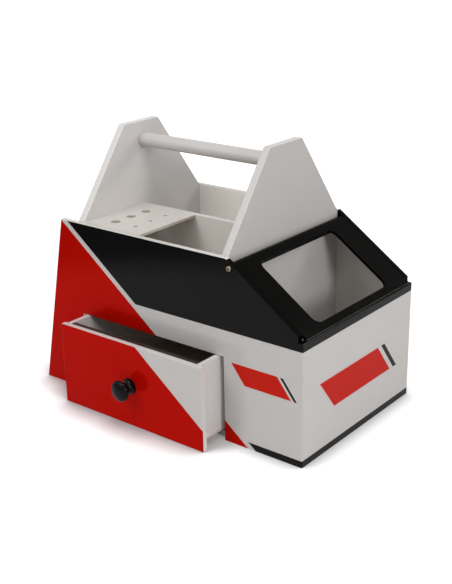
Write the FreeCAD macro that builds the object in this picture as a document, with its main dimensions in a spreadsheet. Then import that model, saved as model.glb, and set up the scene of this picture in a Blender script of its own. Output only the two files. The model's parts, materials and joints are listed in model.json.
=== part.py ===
import FreeCAD, Part
import Sketcher

import math
import os

# Hobby field box of painted plywood: an open tool tray between two A-shaped handle frames,
# a drawer under the tray, and a compartment at the right end under a slanted, hinged lid.
#
# Frame: X along the box (+X towards the slanted lid), -Y is the drawer side, Z up.
# The origin is on the floor, under the middle of the box's footprint.

# Driving dimensions in millimetres.
DIMENSIONS = {
    # the box
    "box_depth": 212.4,
    "box_height": 204.1,
    "wall_ply": 6.5,
    "end_ply": 5.6,
    "left_lean": 43.5,
    "left_end_height": 178.6,
    "slope_foot_height": 142.2,
    "edge_round": 0.8,
    "corner_round": 1.2,
    # the handle frames and the bar between them
    "frame_ply": 8.6,
    "left_bay": 65.1,
    "drawer_bay": 194.8,
    "lid_bay": 94.9,
    "frame_height": 300.7,
    "frame_top_width": 56.6,
    "frame_corner_round": 4.0,
    "dowel_diameter": 15.9,
    "dowel_below_top": 21.1,
    "dowel_socket": 4.0,
    # the tray
    "opening_height": 96.4,
    "opening_lap": 4.8,
    "tray_floor_gap": 1.4,
    "divider_offset": 3.75,
    "shelf_length": 82.2,
    "shelf_ply": 3.0,
    "shelf_big_hole": 11.0,
    "shelf_small_hole": 5.0,
    "shelf_hole_pitch": 24.6,
    "shelf_big_setback": 27.5,
    "shelf_small_setback": 57.4,
    "cleat_side": 6.0,
    "cleat_inset": 9.0,
    # the lid and its two pivots
    "lid_ply": 3.0,
    "lid_recess": 0.2,
    "lid_side_gap": 0.5,
    "lid_foot_setback": 1.7,
    "lid_rest_gap": 0.3,
    "pivot_setback": 10.5,
    "hinge_nose": 4.3,
    "hinge_bar_body": 3.6,
    "hinge_bar_tongue": 4.2,
    "window_bar_gap": 0.4,
    "window_foot_border": 9.2,
    "window_side_border": 31.3,
    "window_offset": 2.3,
    "window_corner": 9.0,
    "pivot_screw_diameter": 3.0,
    "pivot_screw_bite": 14.0,
    "pivot_head_diameter": 5.8,
    "pivot_head_height": 1.8,
    "pivot_fit": 0.08,
    "pivot_head_gap": 0.25,
    # the drawer
    "drawer_pull": 35.0,
    "drawer_ply": 5.5,
    "face_ply": 6.0,
    "face_gap": 0.5,
    "face_floor_gap": 0.3,
    "drawer_side_gap": 0.7,
    "drawer_rear_gap": 2.0,
    "drawer_bottom_ply": 3.0,
    "runner_thickness": 2.5,
    "runner_width": 14.0,
    "runner_inset": 18.0,
    "runner_end_gap": 4.0,
    "glide_gap": 0.3,
    # the knob and its screw
    "knob_height": 47.3,
    "knob_length": 19.8,
    "knob_base_diameter": 18.5,
    "knob_base_depth": 1.8,
    "knob_waist_diameter": 10.5,
    "knob_waist_at": 5.6,
    "knob_head_diameter": 23.8,
    "knob_head_back_diameter": 15.0,
    "knob_rim_back": 3.6,
    "knob_band": 0.8,
    "knob_shoulder": 2.8,
    "knob_front_diameter": 17.5,
    "knob_dome": 1.6,
    "knob_screw_diameter": 4.0,
    "knob_screw_bite": 9.0,
    "knob_screw_head_diameter": 7.6,
    "knob_screw_head_height": 2.6,
    "knob_screw_fit": 0.2,
}
SHEET = "dims"
QUARTER_TURN = math.sqrt(0.5)   # radius over chord of a quarter circle
SOFT_BEND = 0.9                 # radius over chord of the knob's gentler bends
TOUCH = 1e-4                    # two places closer than this are the same place

document = FreeCAD.newDocument("field_box")
parts = []


class Size:
    """A length with its number and the formula that binds it to the sheet."""

    def __init__(self, number, formula):
        self.number = number
        self.formula = formula

    def __add__(self, other):
        other = as_size(other)
        return Size(self.number + other.number, "(%s + %s)" % (self.formula, other.formula))

    def __sub__(self, other):
        other = as_size(other)
        return Size(self.number - other.number, "(%s - %s)" % (self.formula, other.formula))

    def __mul__(self, other):
        other = as_size(other)
        return Size(self.number * other.number, "(%s * %s)" % (self.formula, other.formula))

    def __truediv__(self, other):
        other = as_size(other)
        return Size(self.number / other.number, "(%s / %s)" % (self.formula, other.formula))

    def __neg__(self):
        return Size(-self.number, "(0 - %s)" % self.formula)


def as_size(value):
    return value if isinstance(value, Size) else Size(float(value), repr(float(value)))


def length_of(dx, dz):
    """The length of a line that runs dx one way and dz the other."""
    return Size(math.hypot(dx.number, dz.number), "sqrt(%s ^ 2 + %s ^ 2)" % (dx.formula, dz.formula))


def cap_bend(radius, rise):
    """Radius over chord of a domed cap's profile, so that the cap meets its axis squarely."""
    return length_of(radius, rise) / (rise * 2)


def fill_sheet():
    sheet = document.addObject("Spreadsheet::Sheet", SHEET)
    for row, (alias, value) in enumerate(DIMENSIONS.items(), start=1):
        sheet.set("A%d" % row, alias)
        sheet.set("B%d" % row, str(value))
        sheet.setAlias("B%d" % row, alias)
    document.recompute()


def dim(alias):
    return Size(DIMENSIONS[alias], "%s.%s" % (SHEET, alias))


# ---------------------------------------------------------------- building blocks

def new_body(node, x=0, y=0, z=0):
    body = document.addObject("PartDesign::Body", node)
    body.Label = node
    place(body, x, y, z)
    parts.append(body)
    return body


def place(item, x, y, z):
    item.Placement.Base = FreeCAD.Vector(*[as_size(value).number for value in (x, y, z)])
    for letter, value in zip("xyz", (x, y, z)):
        item.setExpression("Placement.Base.%s" % letter, as_size(value).formula)


def plane_of(body, role):
    return [feature for feature in body.Origin.OriginFeatures if feature.Role == role][0]


def new_sketch(body, role, offset=0):
    """A sketch on one of the body's own planes, moved along the plane's normal."""
    sketch = body.newObject("Sketcher::SketchObject", body.Name + "_sketch")
    sketch.AttachmentSupport = [(plane_of(body, role), "")]
    sketch.MapMode = "FlatFace"
    sketch.AttachmentOffset.Base.z = as_size(offset).number
    sketch.setExpression("AttachmentOffset.Base.z", as_size(offset).formula)
    return sketch


def pin_point(sketch, geometry, end, point):
    """Tie one end of a sketch line or arc to its place from the sheet."""
    for kind, value in zip(("DistanceX", "DistanceY"), point):
        index = sketch.addConstraint(Sketcher.Constraint(kind, -1, 1, geometry, end, value.number))
        sketch.setExpression("Constraints[%d]" % index, value.formula)


def arc_between(start, finish, radius, turn):
    """The short arc from start to finish: turn is 1 counter-clockwise, -1 clockwise."""
    chord = finish - start
    rise = math.sqrt(max(radius ** 2 - (chord.Length / 2) ** 2, 0.0))
    left = FreeCAD.Vector(-chord.y, chord.x, 0).normalize()
    centre = (start + finish) / 2 + left * (rise * turn)
    first, last = (start, finish) if turn > 0 else (finish, start)
    angles = [math.atan2(end.y - centre.y, end.x - centre.x) for end in (first, last)]
    circle = Part.Circle(centre, FreeCAD.Vector(0, 0, 1), radius)
    return Part.ArcOfCircle(circle, angles[0], angles[1])


def draw_outline(sketch, corners):
    """A closed outline. A corner is (x, y), or (x, y, bend, turn) where an arc leaves it."""
    points = [(as_size(corner[0]), as_size(corner[1])) for corner in corners]
    vectors = [FreeCAD.Vector(x.number, y.number, 0) for x, y in points]
    ends = []
    for index, corner in enumerate(corners):
        following = (index + 1) % len(corners)
        start, finish = vectors[index], vectors[following]
        if len(corner) == 2:
            geometry = sketch.addGeometry(Part.LineSegment(start, finish))
            ends.append((geometry, 1, 2))
            continue
        bend, turn = corner[2:]
        span = length_of(points[following][0] - points[index][0], points[following][1] - points[index][1])
        radius = span * bend
        geometry = sketch.addGeometry(arc_between(start, finish, radius.number, turn))
        constraint = sketch.addConstraint(Sketcher.Constraint("Radius", geometry, radius.number))
        sketch.setExpression("Constraints[%d]" % constraint, radius.formula)
        ends.append((geometry, 1, 2) if turn > 0 else (geometry, 2, 1))
    for index, (geometry, start, finish) in enumerate(ends):
        next_geometry, next_start, next_finish = ends[(index + 1) % len(ends)]
        sketch.addConstraint(Sketcher.Constraint("Coincident", geometry, finish, next_geometry, next_start))
        pin_point(sketch, geometry, start, points[index])


def draw_circle(sketch, x, y, diameter):
    x, y, diameter = as_size(x), as_size(y), as_size(diameter)
    circle = Part.Circle(FreeCAD.Vector(x.number, y.number, 0), FreeCAD.Vector(0, 0, 1), diameter.number / 2)
    geometry = sketch.addGeometry(circle)
    index = sketch.addConstraint(Sketcher.Constraint("Diameter", geometry, diameter.number))
    sketch.setExpression("Constraints[%d]" % index, diameter.formula)
    pin_point(sketch, geometry, 3, (x, y))


def rectangle(low_x, low_y, high_x, high_y):
    return [(low_x, low_y), (high_x, low_y), (high_x, high_y), (low_x, high_y)]


def pad(body, sketch, thickness, backwards=False):
    feature = body.newObject("PartDesign::Pad", body.Name + "_pad")
    feature.Profile = sketch
    feature.setExpression("Length", as_size(thickness).formula)
    feature.Reversed = backwards
    sketch.Visibility = False
    document.recompute()
    return feature


def pocket(body, sketch, depth):
    """Cut towards +Z of the sketch, and make sure that it cuts."""
    before = body.Shape.Volume
    feature = body.newObject("PartDesign::Pocket", body.Name + "_pocket")
    feature.Profile = sketch
    feature.setExpression("Length", as_size(depth).formula)
    feature.Reversed = True
    document.recompute()
    if body.Shape.Volume > before - TOUCH:
        raise RuntimeError("%s: a pocket cuts nothing" % body.Label)


def round_edges(body, radius, wanted):
    """Fillet the edges of the body's last feature whose two ends and middle pass the test."""
    base = body.Tip
    names = []
    for index, edge in enumerate(base.Shape.Edges, start=1):
        middle = edge.valueAt((edge.FirstParameter + edge.LastParameter) / 2)
        if wanted(edge, middle):
            names.append("Edge%d" % index)
    if not names:
        raise RuntimeError("%s: no edge to round" % body.Label)
    fillet = body.newObject("PartDesign::Fillet", body.Name + "_round")
    fillet.Base = (base, names)
    fillet.setExpression("Radius", as_size(radius).formula)
    document.recompute()


def near(value, target):
    return abs(value - as_size(target).number) < TOUCH


def plate(node, outline, thickness, y=0, holes=()):
    """A board that stands in the XZ plane, from y towards +Y."""
    body = new_body(node, 0, y, 0)
    sketch = new_sketch(body, "XZ_Plane")
    draw_outline(sketch, outline)
    for x, z, diameter in holes:
        draw_circle(sketch, x, z, diameter)
    pad(body, sketch, thickness, backwards=True)
    return body


def board(node, low, high):
    """A plain rectangular board between two corners."""
    low = [as_size(value) for value in low]
    box = document.addObject("Part::Box", node)
    box.Label = node
    for name, start, end in zip(("Length", "Width", "Height"), low, high):
        box.setExpression(name, (end - start).formula)
    place(box, *low)
    parts.append(box)
    return box


def headed_screw(node, diameter, shank, head_diameter, head_height, at, outward):
    """A screw with a domed head. Its head's underside is at the given point, and
    outward is the direction, along Y, that the head faces."""
    body = new_body(node, *at)
    body.Placement.Rotation = FreeCAD.Rotation(FreeCAD.Vector(1, 0, 0), 0 if outward > 0 else 180)
    sketch = new_sketch(body, "XY_Plane")
    head_radius = head_diameter / 2
    cheek = head_height / 3
    draw_outline(sketch, [
        (0, -shank),
        (diameter / 2, -shank),
        (diameter / 2, 0),
        (head_radius, 0),
        (head_radius, cheek, cap_bend(head_radius, head_height - cheek), 1),
        (0, head_height),
    ])
    revolve(body, sketch)
    return body


def revolve(body, sketch):
    feature = body.newObject("PartDesign::Revolution", body.Name + "_turned")
    feature.Profile = sketch
    feature.ReferenceAxis = (sketch, ["V_Axis"])
    feature.Angle = 360
    sketch.Visibility = False
    document.recompute()


fill_sheet()

# ---------------------------------------------------------------- shared places

box_length = dim("left_bay") + dim("drawer_bay") + dim("lid_bay") + dim("frame_ply") * 2
half_length = box_length / 2
half_depth = dim("box_depth") / 2
inside_depth = dim("box_depth") - dim("wall_ply") * 2
inside_half = inside_depth / 2
rim = dim("box_height")
ply = dim("wall_ply")

dowel_height = dim("frame_height") - dim("dowel_below_top")
end_inner = half_length - dim("end_ply")
lid_frame_outer = half_length - dim("lid_bay")
lid_frame_inner = lid_frame_outer - dim("frame_ply")
left_frame_inner = lid_frame_inner - dim("drawer_bay")
left_frame_outer = left_frame_inner - dim("frame_ply")
bay_middle = (left_frame_inner + lid_frame_inner) / 2

opening_left = left_frame_inner - dim("opening_lap")
opening_right = lid_frame_inner + dim("opening_lap")
opening_top = dim("opening_height")

# The slope runs from the rim, at the outer face of the lid's handle frame, to the end panel.
slope_run = end_inner - lid_frame_outer
slope_drop = rim - dim("slope_foot_height")
slope_length = length_of(slope_run, slope_drop)
slope_cos = slope_run / slope_length
slope_sin = slope_drop / slope_length

# The lid turns about the centre of its rounded nose.
pivot_depth = dim("lid_recess") + dim("hinge_nose")
pivot_x = lid_frame_outer + dim("pivot_setback") * slope_cos - pivot_depth * slope_sin
pivot_z = rim - dim("pivot_setback") * slope_sin - pivot_depth * slope_cos
pivot_hole = dim("pivot_screw_diameter") + dim("pivot_fit") * 2

tray_floor_low = opening_top + dim("tray_floor_gap")
tray_floor_top = tray_floor_low + ply
divider_front = -dim("divider_offset") - ply / 2
shelf_right = left_frame_inner + dim("shelf_length")
shelf_under = rim - dim("shelf_ply")

# The drawer stands open by drawer_pull.
face_front = -half_depth - dim("drawer_pull")
face_back = face_front + dim("face_ply")
drawer_left = left_frame_inner + dim("drawer_side_gap")
drawer_right = lid_frame_inner - dim("drawer_side_gap")
drawer_end = inside_half - dim("drawer_rear_gap") - dim("drawer_pull")
drawer_under = ply + dim("runner_thickness") + dim("glide_gap")
drawer_floor = drawer_under + dim("drawer_bottom_ply")
drawer_top = opening_top - dim("face_gap")
knob_hole = dim("knob_screw_diameter") + dim("knob_screw_fit") * 2


def lean_at(height):
    """X of the leaning left edge of the side walls at a height."""
    return dim("left_lean") * height / rim - half_length


# ---------------------------------------------------------------- the box

def wall_outline(with_opening):
    foot = [(-half_length, 0)]
    if with_opening:
        foot += [
            (opening_left, 0),
            (opening_left, opening_top),
            (opening_right, opening_top),
            (opening_right, 0),
        ]
    return foot + [
        (end_inner, 0),
        (end_inner, dim("slope_foot_height")),
        (lid_frame_outer, rim),
        (lean_at(rim), rim),
    ]


def side_wall(node, with_opening):
    """A side wall. Its outer edges are softened, and its rim on both sides, but not its foot."""
    y = -half_depth if with_opening else inside_half
    outer = as_size(0) if with_opening else ply
    body = plate(node, wall_outline(with_opening), ply, y, [(pivot_x, pivot_z, pivot_hole)])

    def soft(edge, middle):
        joint = near(middle.x, end_inner)
        straight = edge.Curve.TypeId == "Part::GeomLine"
        across = abs(edge.tangentAt(edge.FirstParameter).y) > TOUCH
        face_edge = near(middle.y, outer) or near(middle.z, rim)
        return straight and face_edge and not across and not joint and not near(middle.z, 0)

    round_edges(body, dim("edge_round"), soft)


def right_end_panel():
    """It laps over the ends of both side walls, and the lid's foot rests on its top edge."""
    body = plate("right_end_panel", rectangle(end_inner, 0, half_length, end_height()),
                 dim("box_depth"), -half_depth)

    def soft(edge, middle):
        return near(middle.x, half_length) and not near(middle.z, 0)

    round_edges(body, dim("corner_round"), soft)


def end_height():
    """Just under the lid's foot: the place on the slope, less the lid's thickness."""
    foot = half_length - dim("lid_foot_setback") - lid_frame_outer
    thickness = (dim("lid_recess") + dim("lid_ply")) / slope_cos
    return rim - foot * slope_drop / slope_run - thickness - dim("lid_rest_gap")


def leaning_ply():
    """The leaning panel's thickness as measured level along X."""
    return ply * length_of(dim("left_lean"), rim) / rim


def left_end_panel():
    top = dim("left_end_height")
    outline = [
        (lean_at(as_size(0)), 0),
        (lean_at(as_size(0)) + leaning_ply(), 0),
        (lean_at(top) + leaning_ply(), top),
        (lean_at(top), top),
    ]
    body = plate("left_end_panel", outline, inside_depth, -inside_half)

    def soft(edge, middle):
        return near(middle.z, top) and abs(edge.tangentAt(edge.FirstParameter).y) > TOUCH

    round_edges(body, dim("edge_round"), soft)


def bottom_panel():
    outline = [
        (lean_at(as_size(0)) + leaning_ply(), 0),
        (end_inner, 0),
        (end_inner, ply),
        (lean_at(ply) + leaning_ply(), ply),
    ]
    plate("bottom_panel", outline, inside_depth, -inside_half)


# ---------------------------------------------------------------- the handle

def handle_frame(node, left, socket_from):
    """An A-shaped frame: full width up to the rim, then tapering, with a blind dowel socket."""
    body = new_body(node, left, 0, 0)
    sketch = new_sketch(body, "YZ_Plane")
    half_top = dim("frame_top_width") / 2
    top = dim("frame_height")
    draw_outline(sketch, [
        (-inside_half, ply),
        (inside_half, ply),
        (inside_half, rim),
        (half_top, top),
        (-half_top, top),
        (-inside_half, rim),
    ])
    pad(body, sketch, dim("frame_ply"))
    socket = new_sketch(body, "YZ_Plane", socket_from)
    draw_circle(socket, 0, dowel_height, dim("dowel_diameter"))
    pocket(body, socket, dim("dowel_socket"))

    def top_corner(edge, middle):
        return near(middle.z, top) and abs(edge.tangentAt(edge.FirstParameter).x) > TOUCH

    def outline_edge(edge, middle):
        lengthwise = abs(edge.tangentAt(edge.FirstParameter).x) > TOUCH
        socket_edge = math.hypot(middle.y, middle.z - dowel_height.number) < half_top.number / 2
        return middle.z > rim.number + TOUCH and not lengthwise and not socket_edge

    round_edges(body, dim("frame_corner_round"), top_corner)
    round_edges(body, dim("edge_round"), outline_edge)


def handle_dowel():
    dowel = document.addObject("Part::Cylinder", "handle_dowel")
    dowel.Label = "handle_dowel"
    dowel.setExpression("Radius", (dim("dowel_diameter") / 2).formula)
    dowel.setExpression("Height", (dim("drawer_bay") + dim("dowel_socket") * 2).formula)
    dowel.Placement.Rotation = FreeCAD.Rotation(FreeCAD.Vector(0, 1, 0), 90)
    place(dowel, left_frame_inner - dim("dowel_socket"), 0, dowel_height)
    parts.append(dowel)


# ---------------------------------------------------------------- the tray

def tray():
    board("tray_floor", (left_frame_inner, -inside_half, tray_floor_low),
          (lid_frame_inner, inside_half, tray_floor_top))
    board("tray_divider", (left_frame_inner, divider_front, tray_floor_top),
          (lid_frame_inner, divider_front + ply, rim))
    cleat = dim("cleat_side")
    cleat_right = shelf_right - dim("cleat_inset")
    board("shelf_front_cleat", (left_frame_inner, -inside_half, shelf_under - cleat),
          (cleat_right, cleat - inside_half, shelf_under))
    board("shelf_rear_cleat", (left_frame_inner, divider_front - cleat, shelf_under - cleat),
          (cleat_right, divider_front, shelf_under))


def tool_shelf():
    """A thin plate flush with the rim, with a row of big and a row of small tool holes."""
    body = new_body("tool_shelf", 0, 0, shelf_under)
    sketch = new_sketch(body, "XY_Plane")
    draw_outline(sketch, rectangle(left_frame_inner, -inside_half, shelf_right, divider_front))
    middle = (divider_front - inside_half) / 2
    rows = (("shelf_big_setback", "shelf_big_hole"), ("shelf_small_setback", "shelf_small_hole"))
    for setback, hole in rows:
        for step in (-1, 0, 1):
            draw_circle(sketch, left_frame_inner + dim(setback),
                        middle + dim("shelf_hole_pitch") * step, dim(hole))
    pad(body, sketch, dim("shelf_ply"))


# ---------------------------------------------------------------- the lid

def tilt(body):
    """Turn a piece drawn about the pivot, with X down the slope, into its place."""
    body.Placement.Rotation = FreeCAD.Rotation(
        FreeCAD.Vector(0, 1, 0), math.degrees(math.atan2(slope_drop.number, slope_run.number)))
    body.setExpression("Placement.Rotation.Angle", "atan(%s / %s)" % (slope_drop.formula, slope_run.formula))


def lid_panel():
    """The windowed plate, let into the hinge bar's top and resting on the end panel."""
    body = new_body("lid_panel", pivot_x, 0, pivot_z)
    tilt(body)
    under = dim("hinge_nose") - dim("lid_ply")
    foot_x = half_length - dim("lid_foot_setback") - pivot_x
    foot = (foot_x - under * slope_sin) / slope_cos
    half_width = inside_half - dim("lid_side_gap")
    sketch = new_sketch(body, "XY_Plane", under)
    draw_outline(sketch, rectangle(dim("hinge_bar_body"), -half_width, foot, half_width))

    near_x = dim("hinge_bar_body") + dim("hinge_bar_tongue") + dim("window_bar_gap")
    far_x = foot - dim("window_foot_border")
    side = half_width - dim("window_side_border")
    front_y = -side - dim("window_offset")
    rear_y = side - dim("window_offset")
    corner = dim("window_corner")
    draw_outline(sketch, [
        (near_x + corner, front_y),
        (far_x - corner, front_y, QUARTER_TURN, 1),
        (far_x, front_y + corner),
        (far_x, rear_y - corner, QUARTER_TURN, 1),
        (far_x - corner, rear_y),
        (near_x + corner, rear_y, QUARTER_TURN, 1),
        (near_x, rear_y - corner),
        (near_x, front_y + corner, QUARTER_TURN, 1),
    ])
    pad(body, sketch, dim("lid_ply"))

    def soft(edge, middle):
        return near(middle.z, dim("hinge_nose")) and not near(middle.x, dim("hinge_bar_body"))

    round_edges(body, dim("edge_round") / 2, soft)


def lid_hinge_bar():
    """A bar with a round nose about the pivot, so that the lid turns clear of the frame."""
    body = new_body("lid_hinge_bar", pivot_x, 0, pivot_z)
    tilt(body)
    nose = dim("hinge_nose")
    shoulder = nose - dim("lid_ply")
    bar_end = dim("hinge_bar_body") + dim("hinge_bar_tongue")
    half_width = inside_half - dim("lid_side_gap")
    sketch = new_sketch(body, "XZ_Plane", -half_width)
    draw_outline(sketch, [
        (0, nose, QUARTER_TURN, 1),
        (-nose, 0, QUARTER_TURN, 1),
        (0, -nose),
        (bar_end, -nose),
        (bar_end, shoulder),
        (dim("hinge_bar_body"), shoulder),
        (dim("hinge_bar_body"), nose),
    ])
    pad(body, sketch, half_width * 2)
    for start in (-half_width, half_width - dim("pivot_screw_bite")):
        bore = new_sketch(body, "XZ_Plane", start)
        draw_circle(bore, 0, 0, dim("pivot_screw_diameter"))
        pocket(body, bore, dim("pivot_screw_bite"))


def pivot_screws():
    """One screw through each wall into the hinge bar's end. The lid turns on them."""
    gap = dim("pivot_head_gap")
    shank = gap + ply + dim("lid_side_gap") + dim("pivot_screw_bite")
    for node, side in (("pivot_screw_front", -1), ("pivot_screw_rear", 1)):
        headed_screw(node, dim("pivot_screw_diameter"), shank, dim("pivot_head_diameter"),
                     dim("pivot_head_height"), (pivot_x, (half_depth + gap) * side, pivot_z), side)


# ---------------------------------------------------------------- the drawer

def drawer_box():
    """Sides, front, back and a thin bottom glued under them."""
    sheet_ply = dim("drawer_ply")
    board("drawer_side_left", (drawer_left, face_back, drawer_floor),
          (drawer_left + sheet_ply, drawer_end, drawer_top))
    board("drawer_side_right", (drawer_right - sheet_ply, face_back, drawer_floor),
          (drawer_right, drawer_end, drawer_top))
    board("drawer_back", (drawer_left + sheet_ply, drawer_end - sheet_ply, drawer_floor),
          (drawer_right - sheet_ply, drawer_end, drawer_top))
    board("drawer_bottom", (drawer_left, face_back, drawer_under),
          (drawer_right, drawer_end, drawer_floor))
    outline = rectangle(drawer_left + sheet_ply, drawer_floor, drawer_right - sheet_ply, drawer_top)
    plate("drawer_box_front", outline, sheet_ply, face_back,
          [(bay_middle, dim("knob_height"), knob_hole)])


def drawer_face():
    """The inset face, flush with the front wall when the drawer is shut."""
    gap = dim("face_gap")
    outline = rectangle(opening_left + gap, dim("face_floor_gap"), opening_right - gap, drawer_top)
    body = plate("drawer_face", outline, dim("face_ply"), face_front,
                 [(bay_middle, dim("knob_height"), knob_hole)])

    def soft(edge, middle):
        return near(middle.y, 0) and edge.Curve.TypeId == "Part::GeomLine"

    round_edges(body, dim("edge_round"), soft)


def drawer_knob():
    """A turned knob with a flanged base, a waist, a rounded head and a low domed front."""
    body = new_body("drawer_knob", bay_middle, face_front, dim("knob_height"))
    sketch = new_sketch(body, "XY_Plane")
    screw = dim("knob_screw_diameter") / 2
    base = dim("knob_base_diameter") / 2
    waist = dim("knob_waist_diameter") / 2
    head = dim("knob_head_diameter") / 2
    front_radius = dim("knob_front_diameter") / 2
    front = -dim("knob_length")
    shoulder_at = front + dim("knob_dome")
    rim_at = shoulder_at + dim("knob_shoulder")
    band_at = rim_at + dim("knob_band")
    back_at = band_at + dim("knob_rim_back")
    draw_outline(sketch, [
        (screw, 0),
        (base, 0),
        (base, -dim("knob_base_depth"), SOFT_BEND, 1),
        (waist, -dim("knob_waist_at"), SOFT_BEND, 1),
        (dim("knob_head_back_diameter") / 2, back_at, SOFT_BEND, -1),
        (head, band_at),
        (head, rim_at, SOFT_BEND, -1),
        (front_radius, shoulder_at, cap_bend(front_radius, dim("knob_dome")), -1),
        (0, front),
        (0, -dim("knob_screw_bite")),
        (screw, -dim("knob_screw_bite")),
    ])
    revolve(body, sketch)


def knob_screw():
    inside_face = face_back + dim("drawer_ply")
    shank = dim("drawer_ply") + dim("face_ply") + dim("knob_screw_bite")
    headed_screw("knob_screw", dim("knob_screw_diameter"), shank, dim("knob_screw_head_diameter"),
                 dim("knob_screw_head_height"), (bay_middle, inside_face, dim("knob_height")), 1)


def drawer_runners():
    """Two glide strips on the bottom panel, just under the drawer."""
    front = dim("runner_end_gap") - inside_half
    back = inside_half - dim("runner_end_gap")
    top = ply + dim("runner_thickness")
    inset = dim("runner_inset")
    width = dim("runner_width")
    left = left_frame_inner + inset
    right = lid_frame_inner - inset
    board("drawer_runner_left", (left, front, ply), (left + width, back, top))
    board("drawer_runner_right", (right - width, front, ply), (right, back, top))


# ---------------------------------------------------------------- checks and export

def check_document():
    for item in document.Objects:
        if "Invalid" in item.State or "Error" in item.State:
            raise RuntimeError("%s is in the state %s" % (item.Label, item.State))
    for item in parts:
        if item.Shape.isNull() or not item.Shape.isValid() or item.Shape.Volume < TOUCH:
            raise RuntimeError("%s has no valid solid" % item.Label)


def export_parts():
    os.makedirs("parts", exist_ok=True)
    for item in parts:
        item.Shape.exportStep("parts/%s.step" % item.Label)
        box = item.Shape.BoundBox
        print("%-20s %2d solid  X %7.1f %7.1f  Y %7.1f %7.1f  Z %6.1f %6.1f" % (
            item.Label, len(item.Shape.Solids), box.XMin, box.XMax, box.YMin, box.YMax, box.ZMin, box.ZMax))


side_wall("front_wall", True)
side_wall("rear_wall", False)
right_end_panel()
left_end_panel()
bottom_panel()
handle_frame("left_handle_frame", left_frame_outer, dim("frame_ply") - dim("dowel_socket"))
handle_frame("right_handle_frame", lid_frame_inner, 0)
handle_dowel()
tray()
tool_shelf()
drawer_runners()
lid_panel()
lid_hinge_bar()
pivot_screws()
drawer_face()
drawer_box()
drawer_knob()
knob_screw()
document.recompute()
check_document()
export_parts()
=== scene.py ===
import json
import math

import bmesh
import bpy
from mathutils import Matrix, Vector


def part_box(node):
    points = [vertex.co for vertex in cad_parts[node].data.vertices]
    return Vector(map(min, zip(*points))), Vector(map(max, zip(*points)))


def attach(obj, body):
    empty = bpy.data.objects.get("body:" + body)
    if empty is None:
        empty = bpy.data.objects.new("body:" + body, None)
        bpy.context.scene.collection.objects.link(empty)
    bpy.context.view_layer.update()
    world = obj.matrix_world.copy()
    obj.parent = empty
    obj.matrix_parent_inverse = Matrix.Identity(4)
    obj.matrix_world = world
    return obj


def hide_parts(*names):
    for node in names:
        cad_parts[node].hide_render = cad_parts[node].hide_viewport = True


# A hobby field box of painted plywood. The solids come from the frame; this script gives
# them their paint, film and bare wood, and makes the screws. Lengths are in metres.

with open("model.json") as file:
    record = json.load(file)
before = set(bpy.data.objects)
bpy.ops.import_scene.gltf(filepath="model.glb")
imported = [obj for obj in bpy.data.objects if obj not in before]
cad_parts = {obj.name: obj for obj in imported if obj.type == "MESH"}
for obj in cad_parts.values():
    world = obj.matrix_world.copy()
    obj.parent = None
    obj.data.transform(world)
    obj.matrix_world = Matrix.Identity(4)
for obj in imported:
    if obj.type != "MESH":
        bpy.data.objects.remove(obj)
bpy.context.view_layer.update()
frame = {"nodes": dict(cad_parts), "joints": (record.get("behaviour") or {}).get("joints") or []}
NODES = frame["nodes"]
MM = 0.001


# ---------------------------------------------------------------- places read from the frame

def corner_points(node):
    return [vertex.co.copy() for vertex in NODES[node].data.vertices]


wall_low, wall_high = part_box("front_wall")
end_low, end_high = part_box("right_end_panel")
lid_frame_low, lid_frame_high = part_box("right_handle_frame")
RIM = wall_high.z
FRONT = wall_low.y
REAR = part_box("rear_wall")[1].y
WALL = wall_high.y - wall_low.y
TOP_LEFT = min(point.x for point in corner_points("front_wall") if point.z > RIM - 2 * MM)
PIVOT = Vector(next(joint for joint in frame["joints"] if joint["name"] == "lid_hinge")["pos_m"])

# The slope of the lid, from the rim at the handle frame down to the end panel.
slope_top = Vector((lid_frame_high.x, 0, RIM))
end_points = [point for point in corner_points("front_wall") if point.x > wall_high.x - 1 * MM]
slope_foot = Vector((wall_high.x, 0, max(point.z for point in end_points)))
DOWN_SLOPE = (slope_foot - slope_top).normalized()
OFF_SLOPE = Vector((-DOWN_SLOPE.z, 0, DOWN_SLOPE.x))

# The livery: a white diagonal line from the rim's left corner parts the red from the rest.
DIAGONAL = -0.7815           # rise over run of the red field's edge
STRIPE_WIDTH = 5.9 * MM      # the white line, square to its length
BLACK_FROM = 126.5 * MM      # the upper field is black above this height
FOOT_STRIP = 7.7 * MM        # and so is a strip along the floor

# Plain badges: lowest and highest place across, middle height and half height.
FRONT_BADGE = (106 * MM, 171 * MM, 82 * MM, 11 * MM)
END_BADGE = (-62 * MM, 64 * MM, 64 * MM, 17.5 * MM)
BADGE_LEAN = 0.78            # how far the ends lean, across over up
BADGE_SLIM = 0.055           # the black bar's width, and the gap's, in the badge's length

# How deep a coat reaches, measured in from the face or edge that it covers.
FILM_DEPTH = 0.5 * MM        # on the walls' outer faces
FACE_DEPTH = 0.3 * MM        # on other faces
RIM_DEPTH = 0.35 * MM        # on the upper edges of walls and divider
EDGE_DEPTH = 0.2 * MM        # on a panel's narrow edges
FRONT_DEPTH = 0.4 * MM       # on the drawer's face
LEFT_DEPTH = 1.0 * MM        # and on its left edge

# Where the coats end.
LID_SHADE = 7 * MM           # the walls' inner faces are black this far below the lid's slope; under the lid that black is painted shade
FRONT_DARK_FROM = 1.8 * MM   # and their rims from here on, past the right handle frame
REAR_DARK_FROM = -0.4 * MM
UNDER_LID = 12 * MM          # the right frame's white is painted lighter inside, as painted light, from this far under the rim
DRAWER_BARE = (19 * MM, 4 * MM)        # the drawer's bare line, from and to this far under its top
DRAWER_BARE_WIDTH = 0.9 * MM
LID_TIP = 0.12 * MM          # the lid's bare lower edge
LID_BARE = (1.9 * MM, 1.0 * MM)        # its bare line, from and to this far under the upper face
SHELF_PAINT = 1.0 * MM       # paint over the shelf's edge, from below
EDGE_PAINT = 0.9 * MM        # and from above, as on the drawer's floor
PLY = 1 * MM / 3             # one layer of the thin plywood

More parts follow.
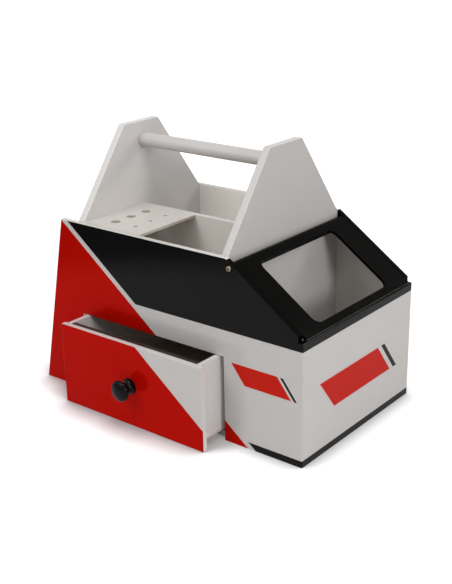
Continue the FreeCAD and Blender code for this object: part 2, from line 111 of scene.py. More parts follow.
# Colours, linear.
WHITE = (0.435, 0.416, 0.404)
# The white paint brightened, as painted light, for the left frame, the drawer's sides and edges,
# and the right frame under the lid.
FRAME_WHITE_PAINTED_LIGHT = (0.56, 0.537, 0.522)
# The white darker than the frames' copy, as painted shade, for the right frame's outer face, the
# dowel and the drawer's white field.
OUTER_WHITE_PAINTED_SHADE = (0.455, 0.435, 0.422)
# The white paint much brightened, as painted light, for the walls' inner faces and the tray's
# floor, which lie in shade.
TRAY_WHITE_PAINTED_LIGHT = (0.88, 0.845, 0.80)
# Brightened, as painted light, for the lid's compartment, which lies in shade.
BAY_WHITE_PAINTED_LIGHT = (0.60, 0.575, 0.54)
# Darker than the tray's copy, as painted shade, for faces lit from above: the shelf and the upper
# edges of walls, divider and drawer back.
SHELF_WHITE_PAINTED_SHADE = (0.52, 0.495, 0.462)
# Brightened, as painted light, for the divider's front in the shade of the bin.
DIVIDER_WHITE_PAINTED_LIGHT = (0.65, 0.615, 0.575)
RED = (0.380, 0.0031, 0.0003)
BADGE_RED = (0.44, 0.012, 0.006)
BLACK = (0.0028, 0.0027, 0.0029)
LID_BLACK = (0.0016, 0.0015, 0.0012)
BARE_WOOD = (0.60, 0.42, 0.27)
# Plywood lighter than the bare wood: on the drawer's floor it is painted light in the drawer's
# shade; on the drawer face's bare line it is wood showing through wear.
PALE_WOOD_WEAR_AND_PAINTED_LIGHT = (0.66, 0.52, 0.42)
PLY_GLUE = (0.25, 0.15, 0.08)
WORN_LID = (0.17, 0.165, 0.145)
LINING = (0.20, 0.145, 0.13)
# A near-black brown, on the drawer box's front.
DARKEST_LINING = (0.026, 0.018, 0.0155)
STEEL = (0.46, 0.385, 0.27)
# Dark metal in the screws' cross recess: painted shade.
RECESS_PAINTED_SHADE = (0.05, 0.04, 0.03)
KNOB_BLACK = (0.0028, 0.0026, 0.0026)

# Each finish's specular level. The red film mirrors its surroundings in red: partly metallic.
RED_SHINE = 0.05
WHITE_SHINE = 0.5
BLACK_SHINE = 0.09
LID_SHINE = 0.015
BADGE_SHINE = 0.03
DARKEST_LINING_SHINE = 0.1
KNOB_SHINE = 0.10
RED_METAL = 0.17
RED_TINT = (1.0, 0.06, 0.016)
PLAIN_TINT = (1.0, 1.0, 1.0)

# Roughness, at the smoothest and at the dullest spots.
FILM_ROUGHNESS = (0.07, 0.16)
LID_ROUGHNESS = (0.14, 0.22)
SHELF_ROUGHNESS = (0.25, 0.35)
LINING_ROUGHNESS = (0.45, 0.6)
WOOD_ROUGHNESS = (0.55, 0.75)
KNOB_ROUGHNESS = (0.06, 0.14)
STEEL_ROUGHNESS = (0.22, 0.42)
LID_BARE_ROUGHNESS = 0.7
PLY_ROUGHNESS = 0.75
SATIN = 0.24                 # the frames' paint, in the middle of its range
DULL_SATIN = 0.3             # and the other white panels'
GLOSS = 0.14                 # the left end's film
BAR_GLOSS = 0.25             # and the hinge bar's paint
SATIN_RANGE = 0.05           # how far the spots go to either side of the middle
GLOSS_RANGE = 0.06

# How much a coat's tone drifts, as a part of its colour, and how much of that is down and up.
DRIFT_DOWN, DRIFT_UP = 1.5, 0.5
FILM_DRIFT = 0.03
PAINT_DRIFT = 0.05
PLAIN_FILM_DRIFT = 0.06
LID_DRIFT = 0.1
KNOB_DRIFT = 0.2

# Relief.
FILM_STEP = 0.05 * MM        # where one colour of film laps over another
FILM_STEP_STRENGTH = 0.5
FILM_GRAIN = 0.002 * MM
PAINT_GRAIN = 0.003 * MM
SHELF_GRAIN = 0.004 * MM
LINING_GRAIN = 0.03 * MM
WOOD_GRAIN = 0.04 * MM
KNOB_RELIEF = 0.01 * MM
SCRATCH_RELIEF = 0.01 * MM

# Patterns of noise: scale, detail and distortion.
TONE_PATTERN = (9.0, 2.0, 0.0)
SPOT_PATTERN = (60.0, 4.0, 0.0)
FILM_SMUDGES = (35.0, 5.0, 0.0)
LID_SMUDGES = (40.0, 5.0, 0.0)
DUST_PATTERN = (300.0, 5.0, 0.0)
KNOB_PATTERN = (90.0, 2.0, 0.0)
SCRATCH_PATTERN = (2500.0, 4.0, 0.0)

# Patterns of grain: the same, and its stretch. The smaller that is, the longer the grain runs.
PAINT_PATTERN = (700.0, 3.0, 0.0, 0.06)
PLY_PATTERN = (900.0, 4.0, 0.0, 0.12)
LINING_PATTERN = (260.0, 5.0, 0.0, 0.05)
WOOD_PATTERN = (320.0, 6.0, 0.3, 0.04)
BAND_PATTERN = (40.0, 3.0, 0.8, 0.04)

# Parts of a noise's range; and for grain, the part over which its tone comes in, and how much.
WHOLE = (0.0, 1.0)
MIDDLE = (0.3, 0.7)
PLY_PORES = (MIDDLE, (0.0, 0.35))
LINING_PORES = ((0.35, 0.7), WHOLE)
WOOD_PORES = ((0.4, 0.75), (0.0, 0.6))
WOOD_BANDS = ((0.4, 0.7), (0.0, 0.35))

# Second tones, as a factor on the first; and how far a bare edge is dulled by paint.
DARK_PLY = 0.62
DARK_WOOD = 0.55
LIGHT_LINING = 1.6
DULL_STEEL = 0.6
LID_EDGE_DULLED = 0.75
SHELF_EDGE_DULLED = 0.15


# ---------------------------------------------------------------- material helpers

class Graph:
    """A material's node tree, with one short method for each kind of node it needs."""

    def __init__(self, material):
        """Takes a new material's name, or a made material that more is to be laid over."""
        if isinstance(material, str):
            material = bpy.data.materials.new(material)
            material.use_nodes = True
        self.material = material
        self.tree = material.node_tree
        self.shader = self.tree.nodes["Principled BSDF"]
        self.coordinates = self.node("ShaderNodeTexCoord").outputs["Object"]
        place = self.node("ShaderNodeSeparateXYZ")
        self.feed(place.inputs[0], self.coordinates)
        self.x, self.y, self.z = place.outputs

    def node(self, kind, **settings):
        made = self.tree.nodes.new(kind)
        for key, value in settings.items():
            setattr(made, key, value)
        return made

    def feed(self, socket, value):
        if isinstance(value, bpy.types.NodeSocket):
            self.tree.links.new(value, socket)
        elif isinstance(value, (tuple, list)) and socket.type == "RGBA":
            socket.default_value = (*value[:3], 1.0)
        else:
            socket.default_value = value

    def math(self, operation, *values):
        made = self.node("ShaderNodeMath", operation=operation)
        for socket, value in zip(made.inputs, values):
            self.feed(socket, value)
        return made.outputs[0]

    def above(self, value, edge):
        return self.math("GREATER_THAN", value, edge)

    def below(self, value, edge):
        return self.math("LESS_THAN", value, edge)

    def both(self, *masks):
        joined = masks[0]
        for mask in masks[1:]:
            joined = self.math("MULTIPLY", joined, mask)
        return joined

    def either(self, first, second):
        return self.math("MAXIMUM", first, second)

    def flipped(self, mask):
        return self.math("SUBTRACT", 1.0, mask)

    def between(self, value, low, high):
        return self.both(self.above(value, low), self.below(value, high))

    def mix(self, factor, first, second):
        made = self.node("ShaderNodeMix", data_type="RGBA")
        self.feed(made.inputs[0], factor)
        self.feed(made.inputs[6], first)
        self.feed(made.inputs[7], second)
        return made.outputs[2]

    def fade(self, factor, first, second):
        made = self.node("ShaderNodeMix", data_type="FLOAT")
        self.feed(made.inputs[0], factor)
        self.feed(made.inputs[2], first)
        self.feed(made.inputs[3], second)
        return made.outputs[0]

    def grey(self, value):
        made = self.node("ShaderNodeCombineColor")
        for socket in made.inputs[:3]:
            self.feed(socket, value)
        return made.outputs[0]

    def ramp(self, value, source, target):
        """A value carried from one range over to another."""
        made = self.node("ShaderNodeMapRange")
        for socket, number in zip(made.inputs, (value, *source, *target)):
            self.feed(socket, number)
        return made.outputs[0]

    def noise(self, pattern, vector=None):
        made = self.node("ShaderNodeTexNoise")
        self.feed(made.inputs["Vector"], self.coordinates if vector is None else vector)
        for name, value in zip(("Scale", "Detail", "Distortion"), pattern):
            made.inputs[name].default_value = value
        return made.outputs[0]

    def grain(self, pattern, axis):
        """Noise that is drawn out along one axis, as wood grain is."""
        *noise, stretch = pattern
        mapping = self.node("ShaderNodeMapping")
        self.feed(mapping.inputs["Vector"], self.coordinates)
        mapping.inputs["Scale"].default_value = [stretch if name == axis else 1.0 for name in "xyz"]
        return self.noise(noise, mapping.outputs[0])

    def bump(self, height, distance, strength=1.0, after=None):
        made = self.node("ShaderNodeBump")
        made.inputs["Strength"].default_value = strength
        made.inputs["Distance"].default_value = distance
        self.feed(made.inputs["Height"], height)
        if after is not None:
            self.feed(made.inputs["Normal"], after)
        return made.outputs[0]

    def along(self, direction, origin):
        """How far a point of the surface lies along a direction, from an origin."""
        total = -direction.dot(origin)
        for axis, value in zip((self.x, self.y, self.z), direction):
            if abs(value) > 1e-9:
                total = self.math("ADD", total, self.math("MULTIPLY", axis, value))
        return total

    def set(self, **values):
        for name, value in values.items():
            self.feed(self.shader.inputs[name.replace("_", " ")], value)

    def base_color(self):
        """The socket that the material's base colour comes from so far."""
        return self.shader.inputs["Base Color"].links[0].from_socket


def scaled(color, factor):
    return tuple(factor * channel for channel in color)


def ply_layers(graph, across):
    """The alternating plies of a bare edge, seen across the panel's thickness."""
    odd = graph.math("MODULO", graph.math("FLOOR", graph.math("DIVIDE", across, PLY)), 2.0)
    tone = graph.mix(odd, BARE_WOOD, scaled(BARE_WOOD, DARK_PLY))
    pores = graph.ramp(graph.grain(PLY_PATTERN, "y"), *PLY_PORES)
    return graph.mix(pores, tone, PLY_GLUE)


def soft_shade(graph, color, amount=PAINT_DRIFT):
    """A coat's slow drift of tone, more to the dark than to the light."""
    span = (1.0 - DRIFT_DOWN * amount, 1.0 + DRIFT_UP * amount)
    shade = graph.ramp(graph.noise(TONE_PATTERN), WHOLE, span)
    shaded = graph.node("ShaderNodeVectorMath", operation="SCALE")
    graph.feed(shaded.inputs[0], color)
    graph.feed(shaded.inputs["Scale"], shade)
    return shaded.outputs[0]


def grain_bump(graph, axis, depth):
    """Fine wood grain that shows through paint or film."""
    return graph.bump(graph.grain(PAINT_PATTERN, axis), depth)


# ---------------------------------------------------------------- fields of colour

def livery_layers(graph, white=WHITE):
    """The white and the black field, by place along and up the side. The rest is red."""
    run = graph.math("SUBTRACT", graph.x, TOP_LEFT)
    rise = graph.math("SUBTRACT", graph.z, RIM)
    over = graph.math("SUBTRACT", rise, graph.math("MULTIPLY", run, DIAGONAL))
    away = graph.math("DIVIDE", over, math.hypot(1.0, DIAGONAL))
    past_red = graph.above(away, 0.0)
    past_stripe = graph.above(away, STRIPE_WIDTH)
    dark = graph.either(graph.above(graph.z, BLACK_FROM), graph.below(graph.z, FOOT_STRIP))
    return [(past_red, white, WHITE_SHINE), (graph.both(past_stripe, dark), BLACK, BLACK_SHINE)]


def badge_layers(graph, across, low, high, middle, half_height):
    """A plain badge in the white field: a wide red bar and a slim black one, both leaning."""
    up = graph.math("SUBTRACT", graph.z, middle)
    leaning = graph.math("ADD", across, graph.math("MULTIPLY", up, BADGE_LEAN))
    level = graph.below(graph.math("ABSOLUTE", up), half_height)
    slim = (high - low) * BADGE_SLIM
    red = graph.both(level, graph.between(leaning, low, high - 2.0 * slim))
    black = graph.both(level, graph.between(leaning, high - slim, high))
    return [(red, BADGE_RED, BADGE_SHINE), (black, BLACK, BLACK_SHINE)]


def film_surface(graph, layers):
    """Gloss film in fields on a red ground. A layer covers what is before it, by its mask."""
    color, shine, metal, tint, relief = RED, RED_SHINE, RED_METAL, RED_TINT, 0.0
    for mask, tone, sheen in layers:
        color = graph.mix(mask, color, tone)
        shine = graph.fade(mask, shine, sheen)
        metal = graph.fade(mask, metal, 0.0)
        tint = graph.mix(mask, tint, PLAIN_TINT)
        relief = graph.math("ADD", relief, mask)
    grain = grain_bump(graph, "x", FILM_GRAIN)
    graph.set(
        Base_Color=soft_shade(graph, color, FILM_DRIFT),
        Metallic=metal,
        Specular_IOR_Level=shine,
        Specular_Tint=tint,
        Roughness=graph.ramp(graph.noise(FILM_SMUDGES), WHOLE, FILM_ROUGHNESS),
        Normal=graph.bump(relief, FILM_STEP, FILM_STEP_STRENGTH, after=grain),
    )


def at_rim(graph):
    """The upper edge of a wall or of the divider."""
    return graph.above(graph.z, RIM - RIM_DEPTH)


def under_lid(graph):
    """The right handle frame's face in the lid's compartment, where its white is brightened as
    painted light.
    """
    face = graph.above(graph.x, lid_frame_high.x - FACE_DEPTH)
    return graph.both(face, graph.below(graph.z, RIM - UNDER_LID))


# ---------------------------------------------------------------- materials

def side_film(name, outer_y, sign, dark_from, badge=False):
    """A side wall: film outside, white paint inside and along the rim, and black by the lid; the
    whites carry painted light and shade, and the black under the lid is painted shade.
    """
    graph = Graph(name)
    layers = livery_layers(graph)
    if badge:
        layers += badge_layers(graph, graph.x, *FRONT_BADGE)
    depth = graph.math("MULTIPLY", graph.math("SUBTRACT", outer_y, graph.y), sign)
    inside = graph.either(graph.above(depth, FILM_DEPTH), at_rim(graph))
    # The black by the lid is black paint on the slope edge, and painted shade on the inner faces
    # under the lid.
    near_lid = graph.above(graph.along(OFF_SLOPE, slope_top), -LID_SHADE)
    black_and_shade_by_lid = graph.both(near_lid, graph.above(graph.x, slope_top.x + dark_from))
    foot_end = graph.both(graph.above(graph.x, wall_high.x - FACE_DEPTH),
                          graph.above(graph.z, BLACK_FROM))
    painted_light_bay = graph.both(inside, graph.above(graph.x, lid_frame_low.x))
    rim = graph.both(at_rim(graph), graph.below(graph.x, slope_top.x + dark_from))
    dark = graph.both(inside, graph.either(black_and_shade_by_lid, foot_end))
    # Inside, the white is brightened as painted light, less so in the lid's compartment; the rim's
    # white is darker, as painted shade.
    layers += [(inside, TRAY_WHITE_PAINTED_LIGHT, WHITE_SHINE), (painted_light_bay, BAY_WHITE_PAINTED_LIGHT, WHITE_SHINE),
               (rim, SHELF_WHITE_PAINTED_SHADE, WHITE_SHINE), (dark, LID_BLACK, LID_SHINE)]
    film_surface(graph, layers)
    return graph.material


def end_film():
    """Film on the outer face, white paint between the walls, and a black upper edge. The white
    between the walls is brightened, as painted light.
    """
    graph = Graph("end_film")
    layers = livery_layers(graph)
    on_face = graph.above(graph.x, end_high.x - FACE_DEPTH)
    for mask, tone, sheen in badge_layers(graph, graph.y, *END_BADGE):
        layers.append((graph.both(mask, on_face), tone, sheen))
    inner = graph.both(graph.below(graph.x, end_low.x + FACE_DEPTH),
                       graph.between(graph.y, FRONT + WALL, REAR - WALL))
    top_edge = graph.above(graph.z, end_high.z - EDGE_DEPTH)
    layers += [(inner, BAY_WHITE_PAINTED_LIGHT, WHITE_SHINE), (top_edge, LID_BLACK, LID_SHINE)]
    film_surface(graph, layers)
    return graph.material


def drawer_film():
    """Film on the face, white top and right edges, and a bare line down the right one's back."""
    graph = Graph("drawer_film")
    low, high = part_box("drawer_face")
    edge = graph.both(graph.above(graph.y, low.y + FRONT_DEPTH),
                      graph.above(graph.x, low.x + LEFT_DEPTH))
    line = graph.both(
        graph.above(graph.y, high.y - DRAWER_BARE_WIDTH),
        graph.above(graph.x, high.x - EDGE_DEPTH),
        graph.between(graph.z, *(high.z - under_top for under_top in DRAWER_BARE)),
    )
    # The edges take the brightened white, as painted light; the white field takes the outer faces'
    # white, as painted shade.
    edges = [(edge, FRAME_WHITE_PAINTED_LIGHT, WHITE_SHINE), (line, PALE_WOOD_WEAR_AND_PAINTED_LIGHT, LID_SHINE)]
    film_surface(graph, livery_layers(graph, OUTER_WHITE_PAINTED_SHADE) + edges)
    return graph.material


def plain_film(name, color, specular, roughness=GLOSS, metallic=0.0):
    """Gloss film or paint in one colour, faintly smudged."""
    graph = Graph(name)
    span = (roughness - GLOSS_RANGE, roughness + GLOSS_RANGE)
    graph.set(
        Base_Color=soft_shade(graph, color, PLAIN_FILM_DRIFT),
        Roughness=graph.ramp(graph.noise(FILM_SMUDGES), WHOLE, span),
        Normal=grain_bump(graph, "x", PAINT_GRAIN),
        Specular_IOR_Level=specular,
        Metallic=metallic,
    )
    return graph.material


def white_paint(name, color, axis, roughness=DULL_SATIN):
    """Satin paint, with the wood's grain along one axis."""
    graph = Graph(name)
    span = (roughness - SATIN_RANGE, roughness + SATIN_RANGE)
    graph.set(
        Base_Color=soft_shade(graph, color),
        Roughness=graph.ramp(graph.noise(SPOT_PATTERN), WHOLE, span),
        Normal=grain_bump(graph, axis, PAINT_GRAIN),
    )
    return graph.material


def white_with_painted_light_and_shade(material, where, color):
    """White paint, with another white over the area that `where` marks out; the second white's
    brightness is painted light and shade.
    """
    graph = Graph(material)
    first = graph.base_color()
    graph.set(Base_Color=graph.mix(where(graph), first, soft_shade(graph, color)))
    return material


def lid_paint():
    """Black all over, but for a thin bare line along the lower edge."""
    graph = Graph("lid_paint")
    across = graph.along(OFF_SLOPE, PIVOT)
    corners = [point - PIVOT for point in corner_points("lid_panel")]
    tip = max(corner.dot(DOWN_SLOPE) for corner in corners)
    top = max(corner.dot(OFF_SLOPE) for corner in corners)
    foot = graph.above(graph.along(DOWN_SLOPE, PIVOT), tip - LID_TIP)
    line = graph.between(across, *(top - under_face for under_face in LID_BARE))
    bare = graph.both(foot, line)
    wood = graph.mix(LID_EDGE_DULLED, ply_layers(graph, across), WORN_LID)
    gloss = graph.ramp(graph.noise(LID_SMUDGES), MIDDLE, LID_ROUGHNESS)
    graph.set(
        Base_Color=graph.mix(bare, soft_shade(graph, LID_BLACK, LID_DRIFT), wood),
        Roughness=graph.fade(bare, gloss, LID_BARE_ROUGHNESS),
        Normal=grain_bump(graph, "y", PAINT_GRAIN),
        Specular_IOR_Level=LID_SHINE,
    )
    return graph.material


def shelf_paint():
    """White above and below, darkened as painted shade, with a bare layer in the cut edge and in
    the holes.
    """
    graph = Graph("shelf_paint")
    low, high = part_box("tool_shelf")
    core = graph.between(graph.z, low.z + SHELF_PAINT, high.z - EDGE_PAINT)
    plies = ply_layers(graph, graph.math("SUBTRACT", graph.z, low.z))
    wood = graph.mix(SHELF_EDGE_DULLED, plies, SHELF_WHITE_PAINTED_SHADE)
    satin = graph.ramp(graph.noise(SPOT_PATTERN), WHOLE, SHELF_ROUGHNESS)
    graph.set(
        Base_Color=graph.mix(core, soft_shade(graph, SHELF_WHITE_PAINTED_SHADE), wood),
        Roughness=graph.fade(core, satin, PLY_ROUGHNESS),
        Normal=grain_bump(graph, "y", SHELF_GRAIN),
    )
    return graph.material


def drawer_lining(name, color, specular=WHITE_SHINE, top=None):
    """Matt dark brown with open grain; white on the upper edge where its height is given, darkened
    as painted shade.
    """
    graph = Graph(name)
    grain = graph.grain(LINING_PATTERN, "x")
    tone = graph.mix(graph.ramp(grain, *LINING_PORES), color, scaled(color, LIGHT_LINING))
    if top is not None:
        upper_edge = graph.above(graph.z, top - FACE_DEPTH)
        tone = graph.mix(upper_edge, tone, soft_shade(graph, SHELF_WHITE_PAINTED_SHADE))
    graph.set(
        Base_Color=tone,
        Roughness=graph.ramp(grain, MIDDLE, LINING_ROUGHNESS),
        Normal=graph.bump(grain, LINING_GRAIN),
        Specular_IOR_Level=specular,
    )
    return graph.material


def bare_wood(name, axis, color=BARE_WOOD):
    """Plywood's face veneer: fine dark pores, and broad bands of growth."""
    graph = Graph(name)
    grain = graph.grain(WOOD_PATTERN, axis)
    bands = graph.grain(BAND_PATTERN, axis)
    dark = scaled(color, DARK_WOOD)
    tone = graph.mix(graph.ramp(grain, *WOOD_PORES), color, dark)
    tone = graph.mix(graph.ramp(bands, *WOOD_BANDS), tone, dark)
    graph.set(
        Base_Color=tone,
        Roughness=graph.ramp(grain, MIDDLE, WOOD_ROUGHNESS),
        Normal=graph.bump(grain, WOOD_GRAIN),
    )
    return graph.material


def drawer_floor():
    """Bare plywood, brightened as painted light, with its side edges painted white but for a line.
    """
    low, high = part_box("drawer_bottom")
    graph = Graph(bare_wood("drawer_floor", "y", PALE_WOOD_WEAR_AND_PAINTED_LIGHT))
    edge = graph.either(graph.below(graph.x, low.x + FACE_DEPTH),
                        graph.above(graph.x, high.x - FACE_DEPTH))
    painted = graph.both(edge, graph.below(graph.z, high.z - EDGE_PAINT))
    graph.set(Base_Color=graph.mix(painted, graph.base_color(), WHITE))
    return graph.material


def knob_lacquer():
    """Black lacquer over turned wood, with a little dust on it."""
    graph = Graph("knob_lacquer")
    graph.set(
        Base_Color=soft_shade(graph, KNOB_BLACK, KNOB_DRIFT),
        Roughness=graph.ramp(graph.noise(DUST_PATTERN), WHOLE, KNOB_ROUGHNESS),
        Normal=graph.bump(graph.noise(KNOB_PATTERN), KNOB_RELIEF),
        Specular_IOR_Level=KNOB_SHINE,
    )
    return graph.material


def screw_metal(name, color):
    """Zinc-plated steel with fine scratches."""
    graph = Graph(name)
    scratches = graph.noise(SCRATCH_PATTERN)
    dull = graph.ramp(scratches, MIDDLE, WHOLE)
    graph.set(
        Base_Color=graph.mix(dull, color, scaled(color, DULL_STEEL)),
        Metallic=1.0,
        Roughness=graph.ramp(scratches, MIDDLE, STEEL_ROUGHNESS),
        Normal=graph.bump(scratches, SCRATCH_RELIEF),
    )
    return graph.material


def dress(material, *nodes):
    for node in nodes:
        mesh = NODES[node].data
        mesh.materials.clear()
        mesh.materials.append(material)


def dress_all():
    dress(side_film("front_film", FRONT, -1.0, FRONT_DARK_FROM, badge=True), "front_wall")
    dress(side_film("rear_film", REAR, 1.0, REAR_DARK_FROM), "rear_wall")
    dress(end_film(), "right_end_panel")
    dress(plain_film("left_film", RED, RED_SHINE, metallic=RED_METAL), "left_end_panel")
    dress(white_paint("bottom_paint", WHITE, "x"), "bottom_panel")
    dress(lid_paint(), "lid_panel")
    dress(plain_film("bar_paint", LID_BLACK, LID_SHINE, BAR_GLOSS), "lid_hinge_bar")
    dress(drawer_film(), "drawer_face")
    dress(shelf_paint(), "tool_shelf")
    dress(white_paint("left_frame_paint", FRAME_WHITE_PAINTED_LIGHT, "z", SATIN), "left_handle_frame")
    # The right frame under the lid in a brighter white: painted light.
    right_frame = white_paint("right_frame_paint", OUTER_WHITE_PAINTED_SHADE, "z", SATIN)
    dress(white_with_painted_light_and_shade(right_frame, under_lid, FRAME_WHITE_PAINTED_LIGHT), "right_handle_frame")
    dress(white_paint("dowel_paint", OUTER_WHITE_PAINTED_SHADE, "x"), "handle_dowel")
    dress(white_paint("tray_paint", TRAY_WHITE_PAINTED_LIGHT, "x"), "tray_floor")
    # The divider's top in a darker white: painted shade.
    divider = white_paint("divider_paint", DIVIDER_WHITE_PAINTED_LIGHT, "x")
    dress(white_with_painted_light_and_shade(divider, at_rim, SHELF_WHITE_PAINTED_SHADE), "tray_divider")
    sides = white_paint("drawer_side_paint", FRAME_WHITE_PAINTED_LIGHT, "y")
    dress(sides, "drawer_side_left", "drawer_side_right")
    dress(drawer_lining("front_lining", DARKEST_LINING, DARKEST_LINING_SHINE), "drawer_box_front")
    back_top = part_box("drawer_back")[1].z
    dress(drawer_lining("back_lining", LINING, top=back_top), "drawer_back")
    dress(drawer_floor(), "drawer_bottom")
    dress(bare_wood("bare_plywood", "y"), "drawer_runner_left", "drawer_runner_right")
    dress(bare_wood("cleat_plywood", "x"), "shelf_front_cleat", "shelf_rear_cleat")
    dress(knob_lacquer(), "drawer_knob")


# ---------------------------------------------------------------- screws

RING = 48                    # corners round a screw
HEAD_PROFILE = (             # a pan head from its underside up, in its radius and its height
    (1.0, 0.0), (1.0, 0.35), (0.985, 0.58), (0.95, 0.77), (0.90, 0.91), (0.82, 1.0),
)
POINT = 0.7                  # the shank's end and the length of its taper, in its radius
POINT_TAPER = 0.5
CROSS_ARM = 0.72             # the recess: its arm and half its width, in the head's radius
CROSS_HALF = 0.15
ARM_TAPER = 0.55             # what is left of both at its foot
HALF_TAPER = 0.8
CROSS_DEPTH = 0.75           # and its depth, in the head's height
SHARP_FROM = math.radians(35)

SCREWS = (                   # node, body, height of the head, radius of the shank, side, turn
    ("pivot_screw_front", "lid", 1.9 * MM, 1.5 * MM, -1, 20),
    ("pivot_screw_rear", "lid", 1.9 * MM, 1.5 * MM, 1, 55),
    ("knob_screw", "drawer", 2.6 * MM, 2.0 * MM, 1, 10),
)


def ring(mesh, radius, height):
    turns = [2.0 * math.pi * step / RING for step in range(RING)]
    return [mesh.verts.new((radius * math.cos(turn), radius * math.sin(turn), height))
            for turn in turns]


def cross(mesh, arm, half, height):
    """The twelve corners of a cross-shaped recess, in order."""
    places = [Vector((*place, height)) for place in ((arm, -half), (arm, half), (half, half))]
    turns = [Matrix.Rotation(quarter * math.pi / 2, 3, "Z") for quarter in range(4)]
    return [mesh.verts.new(turn @ place) for turn in turns for place in places]


def bridge(mesh, first, second):
    for index, corner in enumerate(first):
        after = (index + 1) % len(first)
        mesh.faces.new((corner, first[after], second[after], second[index]))


def loop_edges(mesh, loop):
    pairs = [(corner, loop[index - 1]) for index, corner in enumerate(loop)]
    return [mesh.edges.get(pair) or mesh.edges.new(pair) for pair in pairs]


def screw_mesh(radius, head, shank, length):
    """A pan-headed screw with a cross recess, its head's underside at the origin, facing up."""
    mesh = bmesh.new()
    loops = [ring(mesh, POINT * shank, -length),
             ring(mesh, shank, -length + POINT_TAPER * shank),
             ring(mesh, shank, 0.0)]
    loops += [ring(mesh, radius * wide, head * up) for wide, up in HEAD_PROFILE]
    for first, second in zip(loops, loops[1:]):
        bridge(mesh, first, second)
    mesh.faces.new(loops[0])
    arm, half = CROSS_ARM * radius, CROSS_HALF * radius
    mouth = cross(mesh, arm, half, head)
    foot = cross(mesh, ARM_TAPER * arm, HALF_TAPER * half, head * (1.0 - CROSS_DEPTH))
    bridge(mesh, mouth, foot)
    mesh.faces.new(foot)
    # Faces in the cross recess take the second metal, darkened as painted shade.
    for face in mesh.faces:
        in_recess = all(corner in mouth or corner in foot for corner in face.verts)
        face.material_index = 1 if in_recess else 0
    rim = loop_edges(mesh, loops[-1]) + loop_edges(mesh, mouth)
    bmesh.ops.triangle_fill(mesh, edges=rim, use_beauty=True)
    bmesh.ops.recalc_face_normals(mesh, faces=mesh.faces)
    return mesh


def cross_screw(node, body, head, shank, outward, turn, metals):
    """A screw in the place and the size of the solid that it stands for."""
    low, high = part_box(node)
    middle = (low + high) / 2
    mesh = screw_mesh((high.x - low.x) / 2, head, shank, high.y - low.y - head)
    under_head = Vector((middle.x, high.y - head if outward > 0 else low.y + head, middle.z))
    aim = Vector((0, outward, 0)).to_track_quat("Z", "X").to_matrix().to_4x4()
    spin = Matrix.Rotation(math.radians(turn), 4, "Z")
    mesh.transform(Matrix.Translation(under_head) @ aim @ spin)
    data = bpy.data.meshes.new(node + "_metal")
    mesh.to_mesh(data)
    mesh.free()
    data.shade_smooth()
    data.set_sharp_from_angle(angle=SHARP_FROM)
    for material in metals:
        data.materials.append(material)
    screw = bpy.data.objects.new(node + "_metal", data)
    bpy.context.scene.collection.objects.link(screw)
    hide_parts(node)
    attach(screw, body)


def fit_screws():
    # The second metal is the steel darkened: painted shade in the recess.
    metals = (screw_metal("screw_metal", STEEL), screw_metal("screw_recess_painted_shade", RECESS_PAINTED_SHADE))
    for screw in SCREWS:
        cross_screw(*screw, metals)


# ---------------------------------------------------------------- stage, light and camera

FLOOR_SIZE = 24.0
FLOOR_TONE = 0.86            # what the floor gives back to the object
SEEN_TONE = 0.40             # what the camera sees of its light and shade
SEEN_LIFT = 0.82             # and the glow that makes it a white ground, which grows with distance
FAR_LIFT = 1.02
FAR = (0.35, 1.3)            # over this way off the middle
MIRRORED_TO = (0.55, 0.65)   # gloss mirrors the lit floor as far as this
MIRRORED_LIFT = 0.15
FAR_TONE = 0.12
CONTACT_REACH = 32 * MM      # the glow fades this near the object, as a painted contact shadow
SHADE_REACH = 50 * MM        # and from further off on the side away from the light
SHADE_SIDE = Vector((-0.6, -0.8, 0.0))
SHADE_FROM = (0.02, 0.12)    # where that side begins, and where it counts in full
CONTACT_GLOW = 0.24          # what is left of the glow in the deepest shade; none on that side
CONTACT_RANGE = (0.5, 0.95)  # the open share of the sky over which the glow sets in
CONTACT_SAMPLES = 16
# Pink painted into the floor's shade on that side: a painted red bounce from the film.
SHADE_RED_BOUNCE = (1.0, 0.72, 0.76)
WORLD_LIGHT = 0.47           # what the surroundings give to the object; they are seen white

LAMPS = (                    # name, place, aim, width and power
    ("softbox_tray", (0.30, -0.20, 1.0), (0, 0, 0.2), 0.35, 2.4),
    ("softbox_left", (-0.35, -1.05, 1.15), (0, 0, 0.12), 0.60, 9.5),
    ("softbox_right", (1.44, -0.40, 0.66), (0, 0, 0.12), 0.35, 7.0),
    ("softbox_rear", (0.70, 1.00, 0.95), (0, 0, 0.15), 0.35, 3.8),
)

CAMERA_PLACE = Vector((703.3, -864.6, 537.35)) * MM
CAMERA_AZIMUTH = math.radians(38.841)
CAMERA_DOWN = math.radians(20.732)
CAMERA_ROLL = math.radians(-1.099)
CAMERA_LENS = 64.26
SENSOR = 36.0


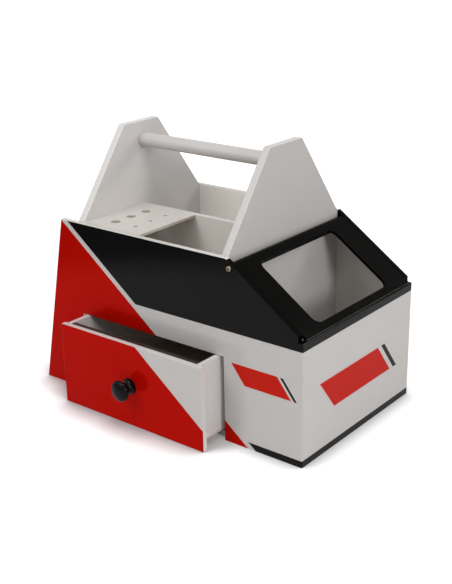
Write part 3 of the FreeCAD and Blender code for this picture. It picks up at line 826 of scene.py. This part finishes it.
def stage_floor():
    """A white floor. What is seen of it is lit up to white, less the object's shadow."""
    bpy.ops.mesh.primitive_plane_add(size=FLOOR_SIZE, location=(0, 0, 0))
    floor = bpy.context.object
    floor.name = "studio_floor"
    graph = Graph("studio_floor")
    graph.tree.nodes.remove(graph.shader)
    path = graph.node("ShaderNodeLightPath").outputs
    seen = path["Is Camera Ray"]
    mirrored = graph.either(path["Is Glossy Ray"], path["Is Transmission Ray"])

    # How far off the middle, and how clear of the object, a point of the floor is.
    squares = [graph.math("MULTIPLY", axis, axis) for axis in (graph.x, graph.y)]
    away = graph.math("SQRT", graph.math("ADD", *squares))
    shaded = graph.ramp(graph.along(SHADE_SIDE, Vector()), SHADE_FROM, WHOLE)
    contact = graph.node("ShaderNodeAmbientOcclusion", samples=CONTACT_SAMPLES)
    graph.feed(contact.inputs["Distance"], graph.fade(shaded, CONTACT_REACH, SHADE_REACH))
    least = graph.fade(shaded, CONTACT_GLOW, 0.0)
    clear = graph.ramp(contact.outputs["AO"], CONTACT_RANGE, (least, 1.0))

    near = graph.ramp(away, MIRRORED_TO, (1.0, 0.0))
    tone = graph.fade(mirrored, FLOOR_TONE, graph.fade(near, FAR_TONE, FLOOR_TONE))
    diffuse = graph.node("ShaderNodeBsdfDiffuse")
    graph.feed(diffuse.inputs["Color"], graph.grey(graph.fade(seen, tone, SEEN_TONE)))

    lift = graph.both(seen, clear, graph.ramp(away, FAR, (SEEN_LIFT, FAR_LIFT)))
    red_bounce = graph.both(shaded, graph.flipped(clear))
    glow = graph.node("ShaderNodeEmission")
    graph.feed(glow.inputs["Color"], graph.mix(red_bounce, PLAIN_TINT, SHADE_RED_BOUNCE))
    strength = graph.math("ADD", lift, graph.both(mirrored, near, MIRRORED_LIFT))
    graph.feed(glow.inputs["Strength"], strength)

    surface = graph.node("ShaderNodeAddShader")
    graph.feed(surface.inputs[0], diffuse.outputs[0])
    graph.feed(surface.inputs[1], glow.outputs[0])
    graph.feed(graph.tree.nodes["Material Output"].inputs["Surface"], surface.outputs[0])
    floor.data.materials.append(graph.material)


def area_light(name, place, aim, size, power):
    light = bpy.data.lights.new(name, "AREA")
    light.shape = "SQUARE"
    light.size = size
    light.energy = power
    lamp = bpy.data.objects.new(name, light)
    lamp.location = place
    lamp.rotation_euler = (Vector(aim) - Vector(place)).to_track_quat("-Z", "Y").to_euler()
    bpy.context.scene.collection.objects.link(lamp)


def studio_light():
    """A plain even world, which camera, gloss and glass see as white, and four softboxes."""
    world = bpy.data.worlds.new("studio_world")
    world.use_nodes = True
    tree = world.node_tree
    path = tree.nodes.new("ShaderNodeLightPath")
    shown = path.outputs["Is Camera Ray"]
    for kind in ("Is Glossy Ray", "Is Transmission Ray"):
        either = tree.nodes.new("ShaderNodeMath")
        either.operation = "MAXIMUM"
        tree.links.new(shown, either.inputs[0])
        tree.links.new(path.outputs[kind], either.inputs[1])
        shown = either.outputs[0]
    strength = tree.nodes.new("ShaderNodeMapRange")
    strength.inputs["To Min"].default_value = WORLD_LIGHT
    tree.links.new(shown, strength.inputs["Value"])
    tree.links.new(strength.outputs[0], tree.nodes["Background"].inputs["Strength"])
    tree.nodes["Background"].inputs["Color"].default_value = (1, 1, 1, 1)
    bpy.context.scene.world = world
    for lamp in LAMPS:
        area_light(*lamp)


def studio_camera():
    ahead = Vector((
        -math.sin(CAMERA_AZIMUTH) * math.cos(CAMERA_DOWN),
        math.cos(CAMERA_AZIMUTH) * math.cos(CAMERA_DOWN),
        -math.sin(CAMERA_DOWN),
    ))
    right = Vector((math.cos(CAMERA_AZIMUTH), math.sin(CAMERA_AZIMUTH), 0))
    up = right.cross(ahead)
    rolled_right = right * math.cos(CAMERA_ROLL) + up * math.sin(CAMERA_ROLL)
    rolled_up = up * math.cos(CAMERA_ROLL) - right * math.sin(CAMERA_ROLL)
    data = bpy.data.cameras.new("camera")
    data.sensor_fit = "VERTICAL"
    data.sensor_height = SENSOR
    data.sensor_width = SENSOR
    data.lens = CAMERA_LENS
    camera = bpy.data.objects.new("camera", data)
    turn = Matrix((rolled_right, rolled_up, -ahead)).transposed()
    camera.matrix_world = Matrix.Translation(CAMERA_PLACE) @ turn.to_4x4()
    bpy.context.scene.collection.objects.link(camera)
    bpy.context.scene.camera = camera


dress_all()
fit_screws()
stage_floor()
studio_light()
studio_camera()
bpy.context.scene.view_settings.view_transform = "Standard"
